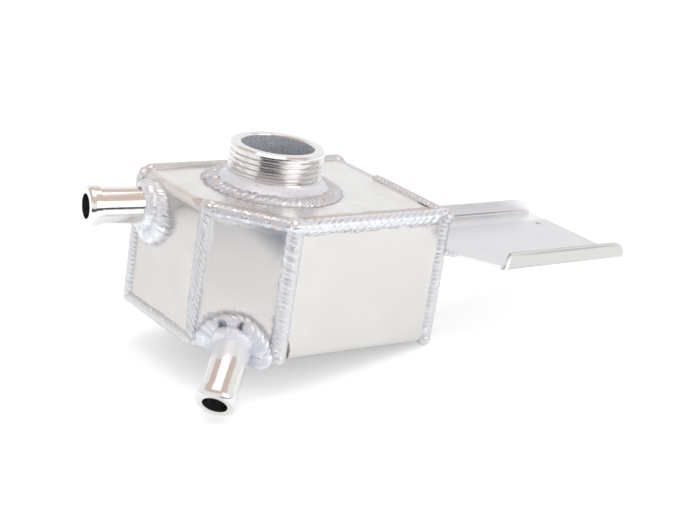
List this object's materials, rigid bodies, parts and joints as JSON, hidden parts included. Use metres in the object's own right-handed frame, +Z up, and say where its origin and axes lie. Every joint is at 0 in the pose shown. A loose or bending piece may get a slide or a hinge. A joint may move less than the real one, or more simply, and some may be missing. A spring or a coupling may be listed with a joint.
{
  "type": "coolant expansion tank",
  "caption": "Welded aluminium coolant expansion tank with a cut-off corner, a threaded filler neck, hose tails and a folded channel bracket.",
  "frame": {"origin": "on the axis of the filler neck, in the outer face of the top plate", "axes": "+Z up along the filler neck, +X along the front wall towards the bracket, +Y from the front wall to the back wall"},
  "size_m": [0.2829, 0.1382, 0.1246],
  "materials": {
    "sheet_aluminium": "brushed",
    "turned_aluminium": "satin",
    "weld_aluminium": "bright",
    "bracket_aluminium": "bright"
  },
  "bodies": {
    "root": {"top_and_side_sheet": "sheet_aluminium", "front_and_base_sheet": "sheet_aluminium", "corner_plate": "sheet_aluminium", "end_plate": "sheet_aluminium", "back_plate": "sheet_aluminium", "filler_neck": "turned_aluminium", "side_hose_tail": "turned_aluminium", "lower_hose_tail": "turned_aluminium", "front_top_seam": "weld_aluminium", "corner_top_seam": "weld_aluminium", "end_top_seam": "weld_aluminium", "back_top_seam": "weld_aluminium", "side_base_seam": "weld_aluminium", "end_base_seam": "weld_aluminium", "back_base_seam": "weld_aluminium", "back_side_seam": "weld_aluminium", "side_corner_seam": "weld_aluminium", "corner_front_seam": "weld_aluminium", "front_end_seam": "weld_aluminium", "end_back_seam": "weld_aluminium", "neck_weld": "weld_aluminium", "side_tail_weld": "weld_aluminium", "lower_tail_weld": "weld_aluminium", "mounting_bracket": "bracket_aluminium", "bracket_weld": "weld_aluminium", "bracket_corner_weld": "weld_aluminium"}
  },
  "joints": []
}
